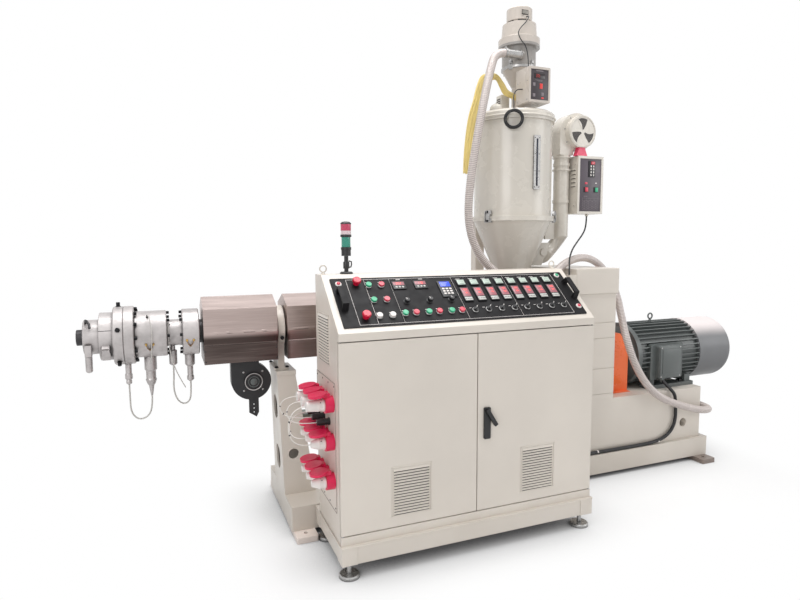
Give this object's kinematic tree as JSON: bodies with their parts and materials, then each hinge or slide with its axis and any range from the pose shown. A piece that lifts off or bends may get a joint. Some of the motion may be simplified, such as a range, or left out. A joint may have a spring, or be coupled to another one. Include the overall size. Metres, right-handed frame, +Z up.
{
  "type": "single-screw plastic pipe extruder",
  "caption": "Single-screw plastic extruder with pipe die, covered barrel, gearbox, motor, hopper dryer with loader, and a free-standing control cabinet.",
  "frame": {"origin": "on the floor, at the middle of the four anchor holes of the base", "axes": "+X along the screw axis from the die to the motor, +Y away from the control cabinet's side, +Z up"},
  "size_m": [4.275, 1.236, 2.985],
  "materials": {
    "machine_paint": "satin warm light grey enamel",
    "cabinet_paint": "satin warm light grey powder coat",
    "dryer_paint": "gloss warm light grey enamel",
    "cover_steel": "brushed stainless sheet, slightly brown",
    "die_steel": "satin machined metal",
    "dark_steel": "dark oxide finish",
    "motor_paint": "satin dark grey-green enamel",
    "cowl_paint": "satin mid grey metallic",
    "guard_orange": "gloss orange enamel",
    "panel_black": "semi-gloss black",
    "black_plastic": "matt black",
    "white_plastic": "gloss white",
    "red_plastic": "gloss red",
    "green_plastic": "gloss green",
    "zinc": "zinc-plated steel",
    "hose_clear": "milky ribbed hose",
    "cable_black": "matt black sheath",
    "lead_grey": "braided metal lead",
    "duct_green": "grey-green enamel",
    "bag_yellow": "woven dust-filter cloth"
  },
  "bodies": {
    "machine": {"barrel": "dark_steel", "barrel_collar": "machine_paint", "barrel_covers": "cover_steel", "barrel_flange": "die_steel", "base_frame": "machine_paint", "cabinet_back": "cabinet_paint", "cabinet_plinth": "cabinet_paint", "cabinet_roof": "cabinet_paint", "cabinet_side_left": "cabinet_paint", "cabinet_side_right": "cabinet_paint", "control_panel": "panel_black", "cooling_fans": "black_plastic", "coupling_guard": "guard_orange", "die_body": "die_steel", "die_bushing": "dark_steel", "die_clamp": "die_steel", "die_connectors": "die_steel", "die_flange": "die_steel", "die_front": "die_steel", "die_lead_front": "lead_grey", "die_lead_rear": "lead_grey", "die_lead_thin": "lead_grey", "die_neck": "die_steel", "door_pivots": "dark_steel", "dryer_blower": "dryer_paint", "dryer_box": "dryer_paint", "dryer_cable": "cable_black", "dryer_duct": "dryer_paint", "feed_throat": "machine_paint", "filter_bag": "bag_yellow", "foot_plates": "machine_paint", "gearbox": "machine_paint", "gearbox_cap": "machine_paint", "hopper_cone": "dryer_paint", "hopper_drum": "dryer_paint", "hopper_lid": "dryer_paint", "hopper_stand": "machine_paint", "levelling_feet": "zinc", "loader_body": "dryer_paint", "loader_box": "dryer_paint", "loader_cable": "cable_black", "loader_coil": "cable_black", "loader_head": "dryer_paint", "motor_cable": "cable_black", "motor_cowl": "cowl_paint", "motor_frame": "motor_paint", "motor_plinth": "machine_paint", "pedestal": "machine_paint", "power_sockets": "red_plastic", "push_buttons": "white_plastic", "sight_glass": "zinc", "signal_lamp": "green_plastic", "socket_leads": "lead_grey", "socket_plugs": "white_plastic", "suction_hose": "hose_clear", "temperature_controllers": "panel_black", "wiring_duct": "duct_green"},
    "door_left": {"door_left": "cabinet_paint"},
    "door_right": {"door_right": "cabinet_paint", "door_handle": "panel_black"}
  },
  "joints": [
    {"name": "door_left_hinge", "type": "hinge", "parent": "machine", "child": "door_left", "pos_m": [-1.3405, -0.8, 0.65], "axis": [0, 0, -1], "range_deg": [0, 110]},
    {"name": "door_right_hinge", "type": "hinge", "parent": "machine", "child": "door_right", "pos_m": [0.0355, -0.8, 0.65], "axis": [0, 0, 1], "range_deg": [0, 110]}
  ]
}
